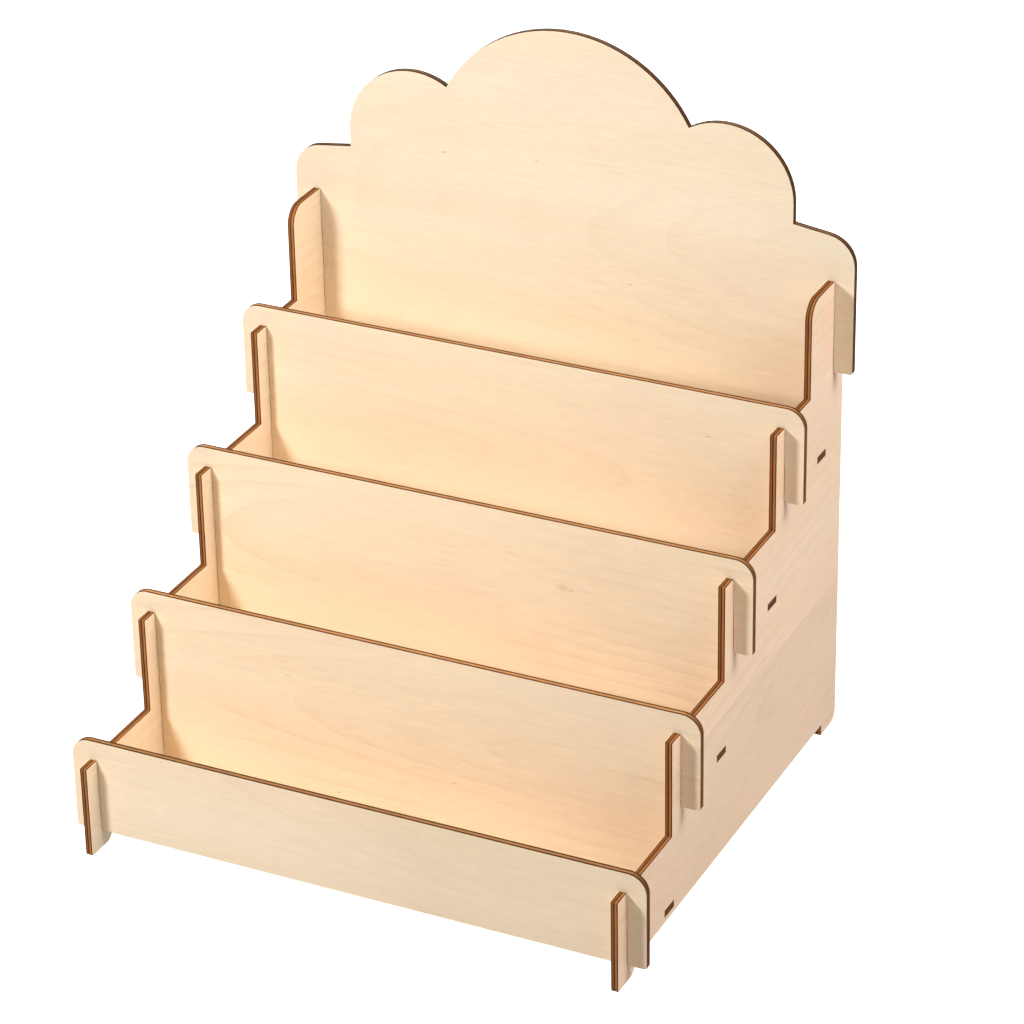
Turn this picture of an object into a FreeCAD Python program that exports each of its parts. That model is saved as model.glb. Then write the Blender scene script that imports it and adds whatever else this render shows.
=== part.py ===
"""Stepped paint rack that slots together from 3 mm plywood boards.

Two stair-step sides carry four troughs. Each trough is a front panel and a
shelf, and the front panel of the next tier closes it behind. A tall panel with
a cloud-shaped top closes the last one. The panels drop from above into
half-lap slots in the sides, and the shelves key into them with tabs.

Frame: X to the right, Y to the rear, Z up. The origin is on the bench, under
the middle of the rack. Lengths are in millimetres.
"""
import FreeCAD, Part
import os
import re
import Sketcher

SHEET = "Dimensions"
TIERS = (1, 2, 3, 4)
BACK = 5
MIN_VOLUME = 1.0
MIN_EDGE = 1.0
SAME_PLACE = 0.01
ON_AXIS = 1e-9

# Alias, value and meaning of each driving dimension.
DIMENSIONS = (
    ("board", 3.0, "thickness of every board"),
    ("gap", 0.15, "free space on each side of a sliding fit"),
    ("inner_width", 230.0, "between the inner faces of the sides"),
    ("side_depth", 223.4, "front edge to rear edge of a side"),
    ("first_tread", 40.6, "bench to the first tread"),
    ("rise", 42.1, "one tread to the next"),
    ("run", 51.0, "one panel's front face to the next"),
    ("nose", 8.25, "tread that stands out in front of a tier panel"),
    ("back_nose", 24.0, "tread that stands out in front of the back panel"),
    ("back_round", 8.0, "radius of the top front corner of the last riser"),
    ("lip", 8.55, "tier panel above its tread"),
    ("ear", 8.3, "panel beyond the outer face of a side"),
    ("lap", 33.0, "tread to the bottom of a tier panel's ear"),
    ("back_lap", 40.3, "tread to the bottom of the back panel's ear"),
    ("panel_round", 8.0, "radius of a tier panel's top corners"),
    ("ear_round", 1.0, "radius of an ear's lower outer corner"),
    ("front_foot", 16.3, "length of the front foot"),
    ("rear_foot", 15.9, "length of the rear foot"),
    ("arch", 5.0, "bench to the underside between the feet"),
    ("toe_round", 0.8, "radius at the front of the front foot"),
    ("instep_round", 4.8, "radius at the rear of the front foot"),
    ("heel_round", 4.5, "radius at the rear of the rear foot"),
    ("tab", 8.8, "length of a shelf tab"),
    ("tab_inset", 6.4, "panel face to the nearest tab"),
    ("tab_gap", 0.1, "free space round a tab in its mortise"),
    ("lobe_radius", 61.5, "radius of the cloud's middle lobe"),
    ("lobe_height", 26.5, "last tread to the middle lobe's centre"),
    ("side_lobe_radius", 30.0, "radius of the cloud's side lobes"),
    ("side_lobe_height", 30.0, "last tread to a side lobe's centre"),
    ("side_lobe_offset", 69.7, "middle of the rack to a side lobe's centre"),
    ("shoulder_inner", 21.8, "last tread to the shoulder beside the lobe"),
    ("shoulder_outer", 18.2, "last tread to the shoulder at the panel's edge"),
    ("shoulder_round", 13.0, "radius of the shoulder's outer corner"),
)


# ---------------------------------------------------------------- helpers

def bound(expression):
    """Point every alias in an expression at the sheet."""
    return re.sub(r"[a-z][a-z_]*", lambda word: SHEET + "." + word.group(0), expression)


def tread(tier):
    """Height of a tier's tread above the bench."""
    return "(first_tread + rise * %d)" % (tier - 1)


def face(tier):
    """Front face of a tier's panel, behind the front edge of the sides."""
    return "(nose + run * %d)" % (tier - 1)


def riser(tier):
    """Front edge of a tier's step, behind the front edge of the sides."""
    return "(%s - %s)" % (face(tier), "back_nose" if tier == BACK else "nose")


def new_body(doc, label, x, y, z):
    """Make an empty body with its origin at the given place in the rack."""
    body = doc.addObject("PartDesign::Body", label)
    body.Label = label
    for axis, place in zip("xyz", (x, y, z)):
        body.setExpression("Placement.Base." + axis, bound(place))
    return body


def new_sketch(body, name, role):
    """Make a sketch on one of the body's own origin planes."""
    planes = [plane for plane in body.Origin.OriginFeatures if plane.Role == role]
    sketch = body.newObject("Sketcher::SketchObject", name)
    sketch.AttachmentSupport = [(planes[0], "")]
    sketch.MapMode = "FlatFace"
    return sketch


def add_datum(sketch, kind, ends, expression):
    """Add one dimension to a sketch and bind it to the sheet."""
    value = float(sketch.evalExpression(bound(expression)))
    index = sketch.addConstraint(Sketcher.Constraint(kind, *ends, value))
    sketch.setExpression("Constraints[%d]" % index, bound(expression))


def pin_point(sketch, edge, end, across, up):
    """Fix a point at bound distances from the sketch's origin."""
    for kind, axis, distance in (("DistanceX", -2, across), ("DistanceY", -1, up)):
        value = float(sketch.evalExpression(bound(distance)))
        if abs(value) < ON_AXIS:
            sketch.addConstraint(Sketcher.Constraint("PointOnObject", edge, end, axis))
        elif value > 0:
            add_datum(sketch, kind, (-1, 1, edge, end), distance)
        else:
            add_datum(sketch, kind, (edge, end, -1, 1), "-(%s)" % distance)


def add_polygon(sketch, corners):
    """Draw a closed outline through corners given as pairs of expressions."""
    points = [FreeCAD.Vector(*[float(sketch.evalExpression(bound(part))) for part in corner], 0)
              for corner in corners]
    first = sketch.GeometryCount
    count = len(points)
    for index, point in enumerate(points):
        sketch.addGeometry(Part.LineSegment(point, points[(index + 1) % count]), False)
    for index in range(count):
        following = first + (index + 1) % count
        sketch.addConstraint(Sketcher.Constraint("Coincident", first + index, 2, following, 1))
    for index, corner in enumerate(corners):
        pin_point(sketch, first + index, 1, *corner)


def add_circle(sketch, across, up, radius):
    """Draw a circle with a bound centre and radius."""
    values = [float(sketch.evalExpression(bound(part))) for part in (across, up, radius)]
    centre = FreeCAD.Vector(values[0], values[1], 0)
    edge = sketch.addGeometry(Part.Circle(centre, FreeCAD.Vector(0, 0, 1), values[2]), False)
    pin_point(sketch, edge, 3, across, up)
    add_datum(sketch, "Radius", (edge,), radius)


def add_pad(body, sketch, name, backwards=False):
    """Thicken a sketch to one board."""
    pad = body.newObject("PartDesign::Pad", name)
    pad.Profile = sketch
    pad.setExpression("Length", bound("board"))
    pad.Reversed = backwards
    body.Document.recompute()
    return pad


def edges_at(shape, flat_axis, corners):
    """Names of the edges that cross the board at the given corners."""
    names = []
    for number, edge in enumerate(shape.Edges, 1):
        ends = [vertex.Point for vertex in edge.Vertexes]
        if len(ends) != 2 or abs(ends[0][flat_axis] - ends[1][flat_axis]) < MIN_EDGE:
            continue
        place = [ends[0][axis] for axis in range(3) if axis != flat_axis]
        if any(max(abs(place[0] - a), abs(place[1] - b)) < SAME_PLACE for a, b in corners):
            names.append("Edge%d" % number)
    return names


def round_corners(body, flat_axis, radius, corners):
    """Round the corners of a board, given as pairs of expressions in its own frame."""
    base = body.Tip
    places = [[float(body.evalExpression(bound(part))) for part in corner] for corner in corners]
    names = edges_at(base.Shape, flat_axis, places)
    if len(names) != len(corners):
        raise ValueError("%s: found %d of %d corners" % (body.Label, len(names), len(corners)))
    fillet = body.newObject("PartDesign::Fillet", "Round")
    fillet.Base = (base, names)
    fillet.setExpression("Radius", bound(radius))
    body.Document.recompute()


def mirrored(corners):
    """Close a right half outline with its reflection in the middle plane."""
    return corners + [("-(%s)" % across, up) for across, up in reversed(corners)]


# ---------------------------------------------------------------- boards

def side_outline():
    """Corners of a side from the toe up the stairs and back under the arch."""
    corners = [("0", "0")]
    for tier in TIERS + (BACK,):
        level = tread(tier)
        slot_floor = "%s - %s / 2 - gap" % (level, "back_lap" if tier == BACK else "lap")
        slot_front = "%s - gap" % face(tier)
        slot_rear = "%s + board + gap" % face(tier)
        corners.append((riser(tier), level))
        corners.append((slot_front, level))
        corners.append((slot_front, slot_floor))
        corners.append((slot_rear, slot_floor))
        corners.append((slot_rear, level))
        if tier != BACK:
            corners.append((riser(tier + 1), level))
    corners.append(("side_depth", tread(BACK)))
    corners.append(("side_depth", "0"))
    corners.append(("side_depth - rear_foot", "0"))
    corners.append(("side_depth - rear_foot", "arch"))
    corners.append(("front_foot", "arch"))
    corners.append(("front_foot", "0"))
    return corners


def add_mortises(body, pad):
    """Cut the mortises that hold the shelf tabs, two for each tier."""
    sketch = new_sketch(body, "Mortises", "YZ_Plane")
    for tier in TIERS:
        low = "%s - lap - tab_gap" % tread(tier)
        high = "%s - lap + board + tab_gap" % tread(tier)
        starts = ("%s + board + tab_inset" % face(tier), "%s - tab_inset - tab" % face(tier + 1))
        for start in starts:
            front = "%s - tab_gap" % start
            rear = "%s + tab + tab_gap" % start
            add_polygon(sketch, [(front, low), (rear, low), (rear, high), (front, high)])
    pocket = body.newObject("PartDesign::Pocket", "MortisePocket")
    pocket.Profile = sketch
    pocket.Type = "ThroughAll"
    pocket.Reversed = True
    body.Document.recompute()
    opening = "%d * (tab + 2 * tab_gap) * (board + 2 * tab_gap) * board" % (2 * len(TIERS))
    wanted = float(body.evalExpression(bound(opening)))
    removed = pad.Shape.Volume - pocket.Shape.Volume
    if abs(removed - wanted) > MIN_VOLUME:
        raise ValueError("the mortises cut %.1f mm3, not %.1f" % (removed, wanted))


def side_panel(doc, label, x):
    """Stair-step side with slots cut down from its treads."""
    body = new_body(doc, label, x, "-side_depth / 2", "0")
    sketch = new_sketch(body, "Outline", "YZ_Plane")
    add_polygon(sketch, side_outline())
    pad = add_pad(body, sketch, "Board")
    add_mortises(body, pad)
    round_corners(body, 0, "back_round", [(riser(BACK), tread(BACK))])
    round_corners(body, 0, "toe_round", [("0", "0")])
    round_corners(body, 0, "instep_round", [("front_foot", "0")])
    round_corners(body, 0, "heel_round", [("side_depth", "0")])
    return body


def half_panel(lap, depth):
    """Right edge of a panel below its top: ear, half-lap slot and middle."""
    tip = "inner_width / 2 + board + ear"
    slot_outer = "inner_width / 2 + board + gap"
    slot_inner = "inner_width / 2 - gap"
    return [
        (tip, "-%s" % lap),
        (slot_outer, "-%s" % lap),
        (slot_outer, "-%s / 2" % lap),
        (slot_inner, "-%s / 2" % lap),
        (slot_inner, "-(%s)" % depth),
    ]


def tier_panel(doc, tier):
    """Front panel of one trough, with an ear outside each side.

    Heights count from its tread. The first panel ends level with its ears.
    The others reach down to the shelf of the tier in front.
    """
    place = "%s - side_depth / 2" % face(tier)
    body = new_body(doc, "tier_%d_front_panel" % tier, "0", place, tread(tier))
    depth = "lap" if tier == TIERS[0] else "lap + rise"
    tip = "inner_width / 2 + board + ear"
    sketch = new_sketch(body, "Outline", "XZ_Plane")
    add_polygon(sketch, mirrored([(tip, "lip")] + half_panel("lap", depth)))
    add_pad(body, sketch, "Board", backwards=True)
    round_corners(body, 1, "panel_round", [(tip, "lip"), ("-(%s)" % tip, "lip")])
    round_corners(body, 1, "ear_round", [(tip, "-lap"), ("-(%s)" % tip, "-lap")])
    return body


def cloud_panel(doc):
    """Back panel: a plate with sloping shoulders and three round lobes on top."""
    place = "%s - side_depth / 2" % face(BACK)
    body = new_body(doc, "cloud_back_panel", "0", place, tread(BACK))
    tip = "inner_width / 2 + board + ear"
    step = "side_lobe_offset + side_lobe_radius"
    plate = new_sketch(body, "Outline", "XZ_Plane")
    shoulder = [(step, "side_lobe_height"), (step, "shoulder_inner"), (tip, "shoulder_outer")]
    add_polygon(plate, mirrored(shoulder + half_panel("back_lap", "lap + rise")))
    add_pad(body, plate, "Board", backwards=True)

    middle = new_sketch(body, "MiddleLobe", "XZ_Plane")
    add_circle(middle, "0", "lobe_height", "lobe_radius")
    add_pad(body, middle, "MiddleLobePad", backwards=True)

    outer = new_sketch(body, "SideLobes", "XZ_Plane")
    for offset in ("side_lobe_offset", "-side_lobe_offset"):
        add_circle(outer, offset, "side_lobe_height", "side_lobe_radius")
    add_pad(body, outer, "SideLobesPad", backwards=True)

    ends = [(tip, "shoulder_outer"), ("-(%s)" % tip, "shoulder_outer")]
    round_corners(body, 1, "shoulder_round", ends)
    round_corners(body, 1, "ear_round", [(tip, "-back_lap"), ("-(%s)" % tip, "-back_lap")])
    return body


def shelf(doc, tier):
    """Floor of one trough, with two tabs at each end.

    Its own Y counts from its front edge. Its underside is level with the ears.
    """
    front = "%s + board + gap" % face(tier)
    body = new_body(doc, "tier_%d_shelf" % tier, "0", "%s - side_depth / 2" % front,
                    "%s - lap" % tread(tier))
    end = "inner_width / 2"
    tab_end = "inner_width / 2 + board"
    front_tab = "tab_inset - gap"
    rear_tab = "run - board - gap - tab_inset - tab"
    half = [(end, "run - board - 2 * gap")]
    for start in (rear_tab, front_tab):
        half.append((end, "%s + tab" % start))
        half.append((tab_end, "%s + tab" % start))
        half.append((tab_end, start))
        half.append((end, start))
    half.append((end, "0"))
    sketch = new_sketch(body, "Outline", "XY_Plane")
    add_polygon(sketch, mirrored(half))
    add_pad(body, sketch, "Board")
    return body


# ---------------------------------------------------------------- document

def fill_sheet(doc):
    """Write the driving dimensions and their aliases."""
    sheet = doc.addObject("Spreadsheet::Sheet", SHEET)
    for row, (alias, value, meaning) in enumerate(DIMENSIONS, 1):
        sheet.set("A%d" % row, alias)
        sheet.set("B%d" % row, str(value))
        sheet.setAlias("B%d" % row, alias)
        sheet.set("C%d" % row, meaning)
    doc.recompute()


def check(doc, bodies):
    """Stop if any object failed or any board isn't one valid solid."""
    for item in doc.Objects:
        if "Invalid" in item.State or "Error" in item.State:
            raise ValueError("%s failed: %s" % (item.Name, item.State))
    for body in bodies:
        shape = body.Shape
        if shape.isNull() or not shape.isValid() or len(shape.Solids) != 1:
            raise ValueError("%s isn't one valid solid" % body.Label)
        if shape.Volume < MIN_VOLUME:
            raise ValueError("%s is empty" % body.Label)


def main():
    doc = FreeCAD.newDocument("PaintRack")
    fill_sheet(doc)
    bodies = [
        side_panel(doc, "side_panel_left", "-(inner_width / 2 + board)"),
        side_panel(doc, "side_panel_right", "inner_width / 2"),
    ]
    bodies += [tier_panel(doc, tier) for tier in TIERS]
    bodies.append(cloud_panel(doc))
    bodies += [shelf(doc, tier) for tier in TIERS]
    doc.recompute()
    check(doc, bodies)
    os.makedirs("parts", exist_ok=True)
    for body in bodies:
        body.Shape.exportStep("parts/%s.step" % body.Label)
        box = body.Shape.BoundBox
        print("%-20s x %7.2f %7.2f  y %7.2f %7.2f  z %7.2f %7.2f" % (
            body.Label, box.XMin, box.XMax, box.YMin, box.YMax, box.ZMin, box.ZMax))


main()
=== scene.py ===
"""Looks for a stepped paint rack: bare basswood plywood with laser-browned edges.

Every board keeps its CAD shape and gets a fine edge radius and its own sheet of
veneer. All lengths are in metres.
"""
from math import radians

import bpy
from mathutils import Matrix, Vector


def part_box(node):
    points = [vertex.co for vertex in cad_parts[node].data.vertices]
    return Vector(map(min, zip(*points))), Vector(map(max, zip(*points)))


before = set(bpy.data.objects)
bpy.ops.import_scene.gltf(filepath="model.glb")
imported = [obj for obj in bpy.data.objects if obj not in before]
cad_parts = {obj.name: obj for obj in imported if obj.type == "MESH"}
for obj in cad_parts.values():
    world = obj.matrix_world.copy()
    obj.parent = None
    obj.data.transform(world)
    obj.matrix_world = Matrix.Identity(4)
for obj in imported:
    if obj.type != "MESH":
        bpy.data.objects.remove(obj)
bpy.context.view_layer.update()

RACK_MIDDLE = Vector((0.0, 0.0, 0.13))

# Brightness of the surround below and above the horizon, and how soft the change is.
SURROUND_BELOW = 0.62
SURROUND_ABOVE = 0.16
HORIZON = 0.15
SURROUND_TINT = (1.0, 0.99, 0.97, 1.0)
# Lamps: name, place, power in watts, width.
LAMPS = (
    ("key", (-0.326, -0.583, 0.515), 4.9, 0.17),
    ("side", (0.95, -0.05, 1.25), 17.5, 0.8),
    ("rear", (-0.7, 2.6, 0.9), 34.0, 0.9),
)
FLOOR_HALF = 9.0
FLOOR_GLOW = 0.86

CAMERA_PLACE = (0.65403, -1.28791, 0.89823)
CAMERA_TURN = radians(26.322)
CAMERA_DROP = radians(27.348)
CAMERA_ROLL = radians(-1.126)
CAMERA_LENS = 143.7
CAMERA_SENSOR = 36.0
CAMERA_SHIFT = (0.0117, -0.0508)

BOARD = 0.003
EDGE_RADIUS = 0.00009
WELD_DISTANCE = 0.000002
FLAT_ANGLE = radians(0.6)
SHARP_ANGLE = radians(35)

# Colours are linear.
CREAM = (0.900, 0.735, 0.535)
HONEY = (0.880, 0.670, 0.450)
BLUSH = (0.865, 0.660, 0.490)
RING = (0.700, 0.500, 0.310)
FLECK = (0.250, 0.130, 0.055)
KNOT = (0.600, 0.410, 0.210)
PLAIN = (1.0, 1.0, 1.0)
PALE = (0.985, 1.022, 1.055)
PINK = (1.05, 0.95, 0.95)

# Across the board's thickness, from one face to the other: place, colour.
SIDE_STRIPES = (
    (0.00, (0.095, 0.028, 0.006)),
    (0.11, (0.085, 0.025, 0.005)),
    (0.18, (0.330, 0.122, 0.036)),
    (0.36, (0.320, 0.115, 0.034)),
    (0.43, (0.085, 0.018, 0.001)),
    (0.53, (0.085, 0.018, 0.001)),
    (0.60, (0.490, 0.195, 0.062)),
    (0.82, (0.470, 0.185, 0.058)),
    (0.89, (0.085, 0.025, 0.005)),
    (1.00, (0.095, 0.028, 0.006)),
)
PANEL_STRIPES = (
    (0.00, (0.120, 0.036, 0.006)),
    (0.25, (0.115, 0.034, 0.006)),
    (0.36, (0.600, 0.300, 0.120)),
    (0.48, (0.520, 0.255, 0.100)),
    (0.62, (0.600, 0.300, 0.120)),
    (0.73, (0.105, 0.032, 0.005)),
    (1.00, (0.120, 0.036, 0.006)),
)
# Panels and shelves char evenly where the cut crosses the grain.
END_GRAIN = (0.160, 0.052, 0.015)


# ------------------------------------------------------------------ shader graph

class Graph:
    """A material's node tree, with a short call for each kind of step."""

    def __init__(self, name):
        self.material = bpy.data.materials.new(name)
        self.material.use_nodes = True
        self.tree = self.material.node_tree
        self.tree.nodes.clear()

    def node(self, kind, **settings):
        made = self.tree.nodes.new(kind)
        for key, value in settings.items():
            setattr(made, key, value)
        return made

    def feed(self, socket, value):
        """Link a socket to another one, or set its value."""
        if isinstance(value, bpy.types.NodeSocket):
            self.tree.links.new(value, socket)
        else:
            socket.default_value = value

    def calc(self, operation, *values, clamp=False):
        made = self.node("ShaderNodeMath", operation=operation, use_clamp=clamp)
        for socket, value in zip(made.inputs, values):
            self.feed(socket, value)
        return made.outputs[0]

    def ease(self, value, low, high):
        """0 below low, 1 above high, smooth between."""
        made = self.node("ShaderNodeMapRange", interpolation_type="SMOOTHSTEP")
        self.feed(made.inputs["Value"], value)
        made.inputs["From Min"].default_value = low
        made.inputs["From Max"].default_value = high
        return made.outputs["Result"]

    def spot(self, along, across, layer, stretch):
        """A point of the board, scaled by stretch along and across the grain."""
        made = self.node("ShaderNodeCombineXYZ")
        self.feed(made.inputs[0], self.calc("MULTIPLY", along, stretch[0]))
        self.feed(made.inputs[1], self.calc("MULTIPLY", across, stretch[1]))
        self.feed(made.inputs[2], layer)
        return made.outputs[0]

    def noise(self, point, detail=2.0, roughness=0.5, distortion=0.0):
        made = self.node("ShaderNodeTexNoise", noise_dimensions="3D")
        self.feed(made.inputs["Vector"], point)
        made.inputs["Scale"].default_value = 1.0
        made.inputs["Detail"].default_value = detail
        made.inputs["Roughness"].default_value = roughness
        made.inputs["Distortion"].default_value = distortion
        return made.outputs["Fac"]

    def mix(self, amount, low, high):
        """Blend two colours."""
        made = self.node("ShaderNodeMix", data_type="RGBA")
        for socket, value in ((made.inputs[0], amount), (made.inputs[6], low), (made.inputs[7], high)):
            colour = not isinstance(value, (float, bpy.types.NodeSocket))
            self.feed(socket, (*value, 1.0) if colour else value)
        return made.outputs[2]

    def shade(self, colour, factor):
        """Multiply a colour by a number."""
        made = self.node("ShaderNodeVectorMath", operation="SCALE")
        self.feed(made.inputs[0], colour)
        self.feed(made.inputs["Scale"], factor)
        return made.outputs[0]

    def tint(self, colour, by):
        """Multiply a colour by another one."""
        made = self.node("ShaderNodeVectorMath", operation="MULTIPLY")
        self.feed(made.inputs[0], colour)
        made.inputs[1].default_value = by
        return made.outputs[0]

    def ramp(self, value, stops):
        made = self.node("ShaderNodeValToRGB")
        self.feed(made.inputs[0], value)
        steps = made.color_ramp.elements
        for place, _ in stops[2:]:
            steps.new(place)
        for step, (place, colour) in zip(steps, stops):
            step.position = place
            step.color = (*colour, 1.0)
        return made.outputs[0]


# ------------------------------------------------------------------ plywood

def board_axes(graph, axes, middle):
    """Place and facing of a point in the board's own terms.

    axes names the row axes along the grain, across it and through the board.
    """
    source = graph.node("ShaderNodeTexCoord")
    place = graph.node("ShaderNodeSeparateXYZ")
    facing = graph.node("ShaderNodeSeparateXYZ")
    graph.feed(place.inputs[0], source.outputs["Object"])
    graph.feed(facing.inputs[0], source.outputs["Normal"])
    along, across, through = ("XYZ".index(axis) for axis in axes)
    depth = graph.calc("SUBTRACT", place.outputs[through], middle)
    flatness = graph.calc("ABSOLUTE", facing.outputs[through])
    end_on = graph.calc("ABSOLUTE", facing.outputs[along])
    return place.outputs[along], place.outputs[across], depth, flatness, end_on


def knot_pull(graph, along, across, knots):
    """How far the rings bend round the knots, and how strong each knot's dark core is."""
    pull, dark = 0.0, 0.0
    for knot_along, knot_across, size in knots:
        du = graph.calc("DIVIDE", graph.calc("SUBTRACT", along, knot_along), size * 1.7)
        dv = graph.calc("DIVIDE", graph.calc("SUBTRACT", across, knot_across), size)
        away = graph.calc("SQRT", graph.calc("ADD", graph.calc("MULTIPLY", du, du),
                                             graph.calc("MULTIPLY", dv, dv)))
        bend = graph.calc("DIVIDE", size * 2.2, graph.calc("ADD", away, 1.0))
        pull = graph.calc("ADD", pull, bend)
        core = graph.calc("SUBTRACT", 1.0, graph.ease(away, 0.15, 1.1))
        dark = graph.calc("MAXIMUM", dark, core)
    return pull, dark


def veneer(graph, along, across, layer, figure):
    """Colour of a face: rings of a flat-sawn sheet, tone bands, fibres and flecks.

    Also returns the fibre and pore patterns, for the gloss and the relief.
    """

    def spot(stretch):
        return graph.spot(along, across, layer, stretch)

    drift = graph.noise(spot((5.0, 16.0)), detail=3.0)
    sway = graph.noise(spot((22.0, 60.0)), detail=2.0)
    pull, dark = knot_pull(graph, along, across, figure["knots"])

    reach = graph.calc("MULTIPLY", graph.calc("SUBTRACT", along, figure["peak"][0]), figure["slope"])
    offset = graph.calc("SUBTRACT", across, figure["peak"][1])
    radius = graph.calc("SQRT", graph.calc("ADD", graph.calc("MULTIPLY", reach, reach),
                                           graph.calc("MULTIPLY", offset, offset)))
    radius = graph.calc("ADD", radius, graph.calc("MULTIPLY", drift, 0.016))
    radius = graph.calc("ADD", radius, graph.calc("MULTIPLY", sway, 0.0015))
    radius = graph.calc("SUBTRACT", radius, pull)
    turns = graph.calc("DIVIDE", radius, figure["spacing"])
    late = graph.calc("POWER", graph.calc("FRACT", turns), 3.0)
    fade = graph.ease(graph.noise(spot((11.0, 28.0)), detail=2.0), 0.36, 0.66)
    rings = graph.calc("MULTIPLY", late, graph.calc("MULTIPLY", fade, figure["contrast"]))

    bands = graph.ease(graph.noise(spot((3.2, 34.0)), detail=4.0, roughness=0.55), 0.32, 0.72)
    patches = graph.ease(graph.noise(spot((14.0, 24.0)), detail=2.0, distortion=0.4), 0.50, 0.78)
    colour = graph.mix(graph.calc("MULTIPLY", bands, 0.55), CREAM, HONEY)
    colour = graph.mix(graph.calc("MULTIPLY", patches, 0.45), colour, BLUSH)
    colour = graph.mix(rings, colour, RING)

    fibre = graph.noise(spot((26.0, 1150.0)), detail=3.0, roughness=0.65)
    pore = graph.noise(spot((160.0, 5200.0)), detail=1.0)
    weave = graph.calc("MULTIPLY_ADD", fibre, 0.16, 0.92)
    weave = graph.calc("MULTIPLY", weave, graph.calc("MULTIPLY_ADD", pore, 0.07, 0.965))
    dapple = graph.noise(spot((110.0, 480.0)), detail=3.0, roughness=0.6)
    weave = graph.calc("MULTIPLY", weave, graph.calc("MULTIPLY_ADD", dapple, 0.13, 0.935))
    cloudy = graph.calc("MULTIPLY_ADD", graph.noise(spot((8.0, 11.0)), detail=3.0), 0.14, 0.93)
    colour = graph.shade(colour, graph.calc("MULTIPLY", weave, cloudy))

    cells = graph.node("ShaderNodeTexVoronoi", voronoi_dimensions="3D", feature="F1")
    graph.feed(cells.inputs["Vector"], spot((95.0, 520.0)))
    cells.inputs["Scale"].default_value = 1.0
    chosen = graph.node("ShaderNodeSeparateColor")
    graph.feed(chosen.inputs[0], cells.outputs["Color"])
    rare = graph.ease(chosen.outputs[0], 0.988, 0.992)
    near = graph.calc("SUBTRACT", 1.0, graph.ease(cells.outputs["Distance"], 0.04, 0.17))
    flecks = graph.calc("MULTIPLY", graph.calc("MULTIPLY", rare, near), 0.55)
    colour = graph.mix(flecks, colour, FLECK)
    colour = graph.mix(graph.calc("MULTIPLY", dark, 0.4), colour, KNOT)
    if figure["joint"] is not None:
        beyond = graph.calc("SUBTRACT", figure["joint"], across)
        second = graph.ease(beyond, -0.0004, 0.0004)
        line = graph.calc("SUBTRACT", 1.0, graph.ease(graph.calc("ABSOLUTE", beyond), 0.0, 0.0005))
        tone = graph.calc("SUBTRACT", 1.0, graph.calc("MULTIPLY", second, 0.07))
        tone = graph.calc("SUBTRACT", tone, graph.calc("MULTIPLY", line, 0.07))
        colour = graph.shade(colour, tone)
    return colour, fibre, pore


def burnt_edge(graph, along, across, depth, end_on, side, char):
    """Colour of a laser-cut edge: two veneers, the core between, dark glue lines.

    side says that the board is a side of the rack, char is the edge's brightness.
    """
    wobble = graph.noise(graph.spot(along, across, 0.0, (90.0, 90.0)), detail=3.0)
    level = graph.calc("MULTIPLY_ADD", depth, 1.0 / BOARD, 0.5)
    level = graph.calc("ADD", level, graph.calc("MULTIPLY_ADD", wobble, 0.10, -0.05))
    colour = graph.ramp(level, SIDE_STRIPES if side else PANEL_STRIPES)
    scorch = graph.noise(graph.spot(along, across, 0.0, (55.0, 55.0)), detail=4.0, roughness=0.7)
    strokes = graph.noise(graph.spot(along, across, graph.calc("MULTIPLY", depth, 250.0),
                                     (2300.0, 2300.0)), detail=1.0)
    if not side:
        colour = graph.mix(end_on, colour, END_GRAIN)
    factor = graph.calc("MULTIPLY_ADD", scorch, 0.70 * char, 0.62 * char)
    factor = graph.calc("MULTIPLY", factor, graph.calc("MULTIPLY_ADD", strokes, 0.16, 0.92))
    return graph.shade(colour, factor), strokes


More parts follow.
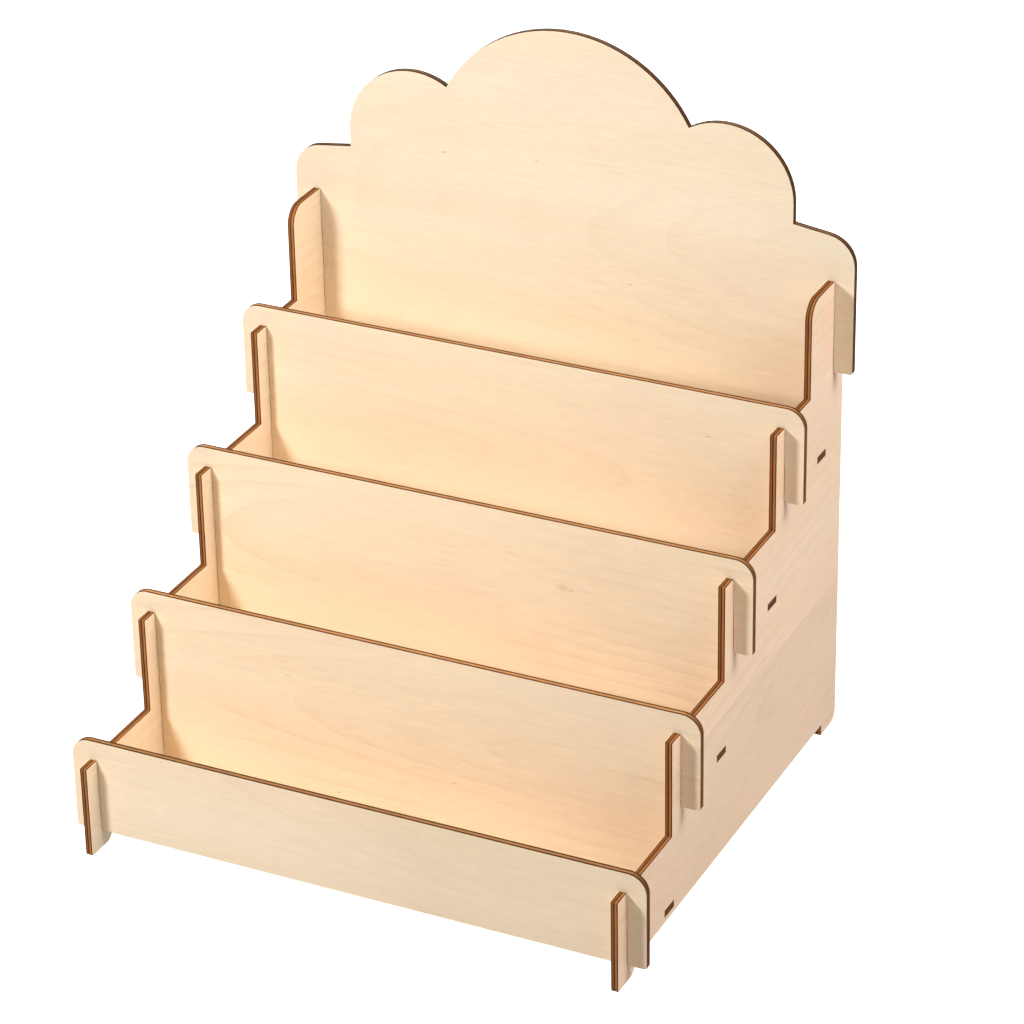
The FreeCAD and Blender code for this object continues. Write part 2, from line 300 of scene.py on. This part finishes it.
def plywood(name, axes, middle, figure):
    """Material of one board."""
    graph = Graph(name)
    along, across, depth, flatness, end_on = board_axes(graph, axes, middle)
    shift_along, shift_across = figure["sheet"]
    # The two faces lie far apart in the pattern, so they differ.
    layer = graph.calc("MULTIPLY_ADD", graph.calc("SIGN", depth), 2.7, shift_along * 9.0)
    moved_along = graph.calc("ADD", along, shift_along)
    moved_across = graph.calc("ADD", across, shift_across)
    shifted = dict(figure)
    shifted["peak"] = (figure["peak"][0] + shift_along, figure["peak"][1] + shift_across)
    shifted["knots"] = [(u + shift_along, v + shift_across, size) for u, v, size in figure["knots"]]
    if figure["joint"] is not None:
        shifted["joint"] = figure["joint"] + shift_across
    face, fibre, pore = veneer(graph, moved_along, moved_across, layer, shifted)
    edge, strokes = burnt_edge(graph, moved_along, moved_across, depth, end_on, axes == SIDE,
                               figure["char"])
    on_edge = graph.calc("SUBTRACT", 1.0, graph.ease(flatness, 0.80, 0.995))
    face = graph.tint(face, figure["tint"])

    surface = graph.node("ShaderNodeBsdfPrincipled")
    graph.feed(surface.inputs["Base Color"], graph.mix(on_edge, face, edge))
    matt = graph.calc("MULTIPLY_ADD", fibre, 0.22, 0.46)
    graph.feed(surface.inputs["Roughness"], graph.calc("MULTIPLY_ADD", on_edge, 0.18, matt))
    surface.inputs["Specular IOR Level"].default_value = 0.06

    relief = graph.calc("ADD", graph.calc("MULTIPLY", fibre, 0.7), graph.calc("MULTIPLY", pore, 0.3))
    height = graph.node("ShaderNodeMix", data_type="FLOAT")
    for socket, value in zip(height.inputs[:1] + height.inputs[2:4], (on_edge, relief, strokes)):
        graph.feed(socket, value)
    bump = graph.node("ShaderNodeBump")
    bump.inputs["Strength"].default_value = 0.35
    bump.inputs["Distance"].default_value = 0.00012
    graph.feed(bump.inputs["Height"], height.outputs[0])
    graph.feed(surface.inputs["Normal"], bump.outputs[0])

    output = graph.node("ShaderNodeOutputMaterial")
    graph.feed(output.inputs["Surface"], surface.outputs[0])
    return graph.material


def look(sheet, peak, slope=0.16, spacing=0.0062, contrast=0.3, tint=PLAIN, knots=(),
         joint=None, char=1.0):
    """Figure of one sheet of veneer.

    sheet shifts the pattern, peak is where the cathedral arches start along and
    across the grain, slope is how fast the cut leaves the heart of the log, and
    spacing is the width of a year's ring. joint is where two strips of veneer meet
    across the grain, and char is the brightness of the board's edges.
    """
    return {"sheet": sheet, "peak": peak, "slope": slope, "spacing": spacing, "tint": tint,
            "contrast": contrast, "knots": list(knots), "joint": joint, "char": char}


# Row axes along the grain, across it and through the board.
PANEL = "XZY"
SIDE = "YZX"
SHELF = "XYZ"
LOOKS = {
    "tier_1_front_panel": (PANEL, look((0.31, 0.12), (0.22, 0.060), contrast=0.12, char=0.72)),
    "tier_2_front_panel": (PANEL, look((1.17, 0.43), (0.10, 0.056), slope=0.13, contrast=0.30)),
    "tier_3_front_panel": (PANEL, look((2.05, 0.81), (0.09, 0.100), slope=0.14, contrast=0.30,
                                       knots=[(0.0445, 0.1041, 0.0020), (0.0480, 0.1035, 0.0012)])),
    "tier_4_front_panel": (PANEL, look((3.42, 1.33), (-0.16, 0.128), slope=0.10, contrast=0.22)),
    "cloud_back_panel": (PANEL, look((4.74, 1.92), (0.30, 0.215), contrast=0.16, tint=PALE,
                                     char=0.48)),
    "side_panel_left": (SIDE, look((5.61, 2.37), (-0.20, 0.090), contrast=0.2, char=0.85)),
    "side_panel_right": (SIDE, look((6.83, 2.88), (0.12, 0.050), contrast=0.25, tint=PINK,
                                    knots=[(0.101, 0.0572, 0.0008), (0.094, 0.0626, 0.0006),
                                           (0.0672, 0.0728, 0.0006)], joint=0.0675, char=0.85)),
    "tier_1_shelf": (SHELF, look((7.29, 3.31), (0.12, -0.080), char=0.8)),
    "tier_2_shelf": (SHELF, look((8.13, 3.74), (-0.15, -0.020), char=0.8)),
    "tier_3_shelf": (SHELF, look((9.47, 4.11), (0.18, 0.030), char=0.8)),
    "tier_4_shelf": (SHELF, look((10.9, 4.59), (-0.09, 0.080), char=0.8)),
}


def finish_board(node, axes, figure):
    """Give a CAD board its fine edge radius and its own plywood."""
    low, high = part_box(node)
    through = "XYZ".index(axes[2])
    middle = (low[through] + high[through]) / 2
    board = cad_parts[node]
    weld = board.modifiers.new("weld", "WELD")
    weld.merge_threshold = WELD_DISTANCE
    flatten = board.modifiers.new("flatten", "DECIMATE")
    flatten.decimate_type = "DISSOLVE"
    flatten.angle_limit = FLAT_ANGLE
    soften = board.modifiers.new("soften", "BEVEL")
    soften.width = EDGE_RADIUS
    soften.segments = 2
    soften.limit_method = "ANGLE"
    soften.angle_limit = SHARP_ANGLE
    soften.harden_normals = True
    board.data.materials.clear()
    board.data.materials.append(plywood(node + "_ply", axes, middle, figure))


# ------------------------------------------------------------------ studio

def floor():
    """Pale matt floor that the feet stand on."""
    mesh = bpy.data.meshes.new("studio_floor")
    corners = [(FLOOR_HALF * x, FLOOR_HALF * y, 0) for x, y in ((-1, -1), (1, -1), (1, 1), (-1, 1))]
    mesh.from_pydata(corners, [], [(0, 1, 2, 3)])
    ground = bpy.data.objects.new("studio_floor", mesh)
    bpy.context.scene.collection.objects.link(ground)
    graph = Graph("studio_floor")
    place = graph.node("ShaderNodeTexCoord").outputs["Object"]
    speck = graph.noise(place, detail=4.0)
    surface = graph.node("ShaderNodeBsdfPrincipled")
    graph.feed(surface.inputs["Base Color"], graph.mix(speck, (0.88, 0.88, 0.88), (0.90, 0.90, 0.90)))
    surface.inputs["Roughness"].default_value = 0.9
    surface.inputs["Specular IOR Level"].default_value = 0.1
    # A light table: white all over, so only the contact shadows show.
    surface.inputs["Emission Color"].default_value = (1.0, 1.0, 1.0, 1.0)
    surface.inputs["Emission Strength"].default_value = FLOOR_GLOW
    output = graph.node("ShaderNodeOutputMaterial")
    graph.feed(output.inputs["Surface"], surface.outputs[0])
    mesh.materials.append(graph.material)
    # The surround alone stands for light thrown up from the table.
    ground.visible_diffuse = False


def lamp(name, place, power, width):
    """Round soft light turned towards the middle of the rack."""
    light = bpy.data.lights.new(name, "AREA")
    light.shape = "DISK"
    light.size = width
    light.energy = power
    body = bpy.data.objects.new(name, light)
    body.location = place
    body.rotation_euler = (RACK_MIDDLE - Vector(place)).to_track_quat("-Z", "Y").to_euler()
    bpy.context.scene.collection.objects.link(body)


def lights():
    """A near key light at the front left, a large soft one at the upper right, a rear fill."""
    world = bpy.data.worlds.new("studio")
    world.use_nodes = True
    tree = world.node_tree
    direction = tree.nodes.new("ShaderNodeTexCoord").outputs["Generated"]
    height = tree.nodes.new("ShaderNodeSeparateXYZ")
    tree.links.new(direction, height.inputs[0])
    fade = tree.nodes.new("ShaderNodeMapRange")
    fade.inputs["From Min"].default_value = -HORIZON
    fade.inputs["From Max"].default_value = HORIZON
    fade.inputs["To Min"].default_value = SURROUND_BELOW
    fade.inputs["To Max"].default_value = SURROUND_ABOVE
    tree.links.new(height.outputs[2], fade.inputs["Value"])
    background = tree.nodes["Background"]
    background.inputs["Color"].default_value = SURROUND_TINT
    tree.links.new(fade.outputs["Result"], background.inputs["Strength"])
    bpy.context.scene.world = world
    for name, place, power, width in LAMPS:
        lamp(name, place, power, width)


def camera():
    """Camera in front, to the right and above, turned towards the rack."""
    data = bpy.data.cameras.new("camera")
    data.sensor_width = CAMERA_SENSOR
    data.lens = CAMERA_LENS
    data.shift_x, data.shift_y = CAMERA_SHIFT
    body = bpy.data.objects.new("camera", data)
    turn = Matrix.Rotation(CAMERA_TURN, 4, "Z")
    tilt = Matrix.Rotation(radians(90) - CAMERA_DROP, 4, "X")
    roll = Matrix.Rotation(CAMERA_ROLL, 4, "Z")
    place = Matrix.Translation(CAMERA_PLACE)
    body.matrix_world = place @ turn @ tilt @ roll
    bpy.context.scene.collection.objects.link(body)
    bpy.context.scene.camera = body


for board_name, (grain_axes, board_figure) in LOOKS.items():
    finish_board(board_name, grain_axes, board_figure)
floor()
lights()
camera()
bpy.context.scene.view_settings.view_transform = "Standard"
